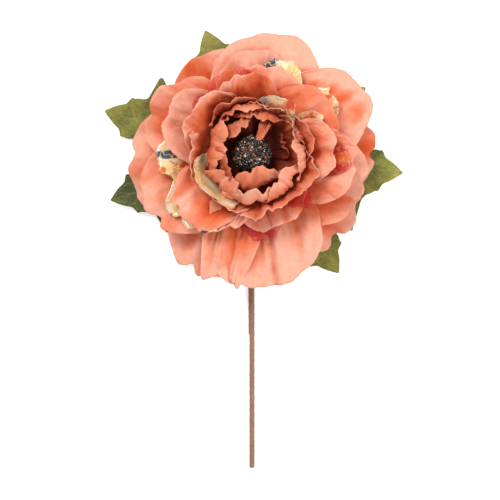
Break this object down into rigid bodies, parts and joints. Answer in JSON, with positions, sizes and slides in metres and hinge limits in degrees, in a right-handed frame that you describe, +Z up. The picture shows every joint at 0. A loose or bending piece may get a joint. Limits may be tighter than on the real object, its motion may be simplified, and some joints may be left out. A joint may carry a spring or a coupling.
{
  "type": "artificial peony on a short stem",
  "caption": "Full-blown cloth peony with clear film between its petals, a dark beaded heart and lobed leaves, lying face up on its taped wire stem",
  "frame": {"origin": "under the middle of the flower's bounding box, on the surface it lies on", "axes": "+Z up, the way the bloom faces; -Y along the stem, away from the bloom; +X to the right as the picture shows it"},
  "size_m": [0.1786, 0.2644, 0.0634],
  "materials": {
    "outer_cloth": "formed cloth, peach with paler rims, matte",
    "inner_cloth": "formed cloth, coral deepening to brick red, matte",
    "film": "thin clear film, pink with gold, green and grey-blue glints",
    "leaf_cloth": "printed cloth, olive green with paler veins, satin",
    "calyx_green": "moulded green plastic, satin",
    "stem_tape": "brown floral tape wound round wire",
    "beads": "dark glitter beads with clear and copper sparkle"
  },
  "bodies": {
    "root": {"stem": "stem_tape", "calyx": "calyx_green", "leaf_1_left": "leaf_cloth", "leaf_2_top": "leaf_cloth", "leaf_3_top_right": "leaf_cloth", "leaf_4_right": "leaf_cloth", "leaf_5_bottom_right": "leaf_cloth", "leaf_6_bottom_left": "leaf_cloth", "petals_1_back_guard": "outer_cloth", "petals_2_front_guard": "outer_cloth", "film_1_outer": "film", "petals_3_middle": "outer_cloth", "film_2_middle": "film", "petals_4_outer_bowl": "inner_cloth", "film_3_bowl": "film", "petals_5_inner_bowl": "inner_cloth", "petals_6_heart_guard": "inner_cloth", "heart_beads": "beads"}
  },
  "joints": []
}
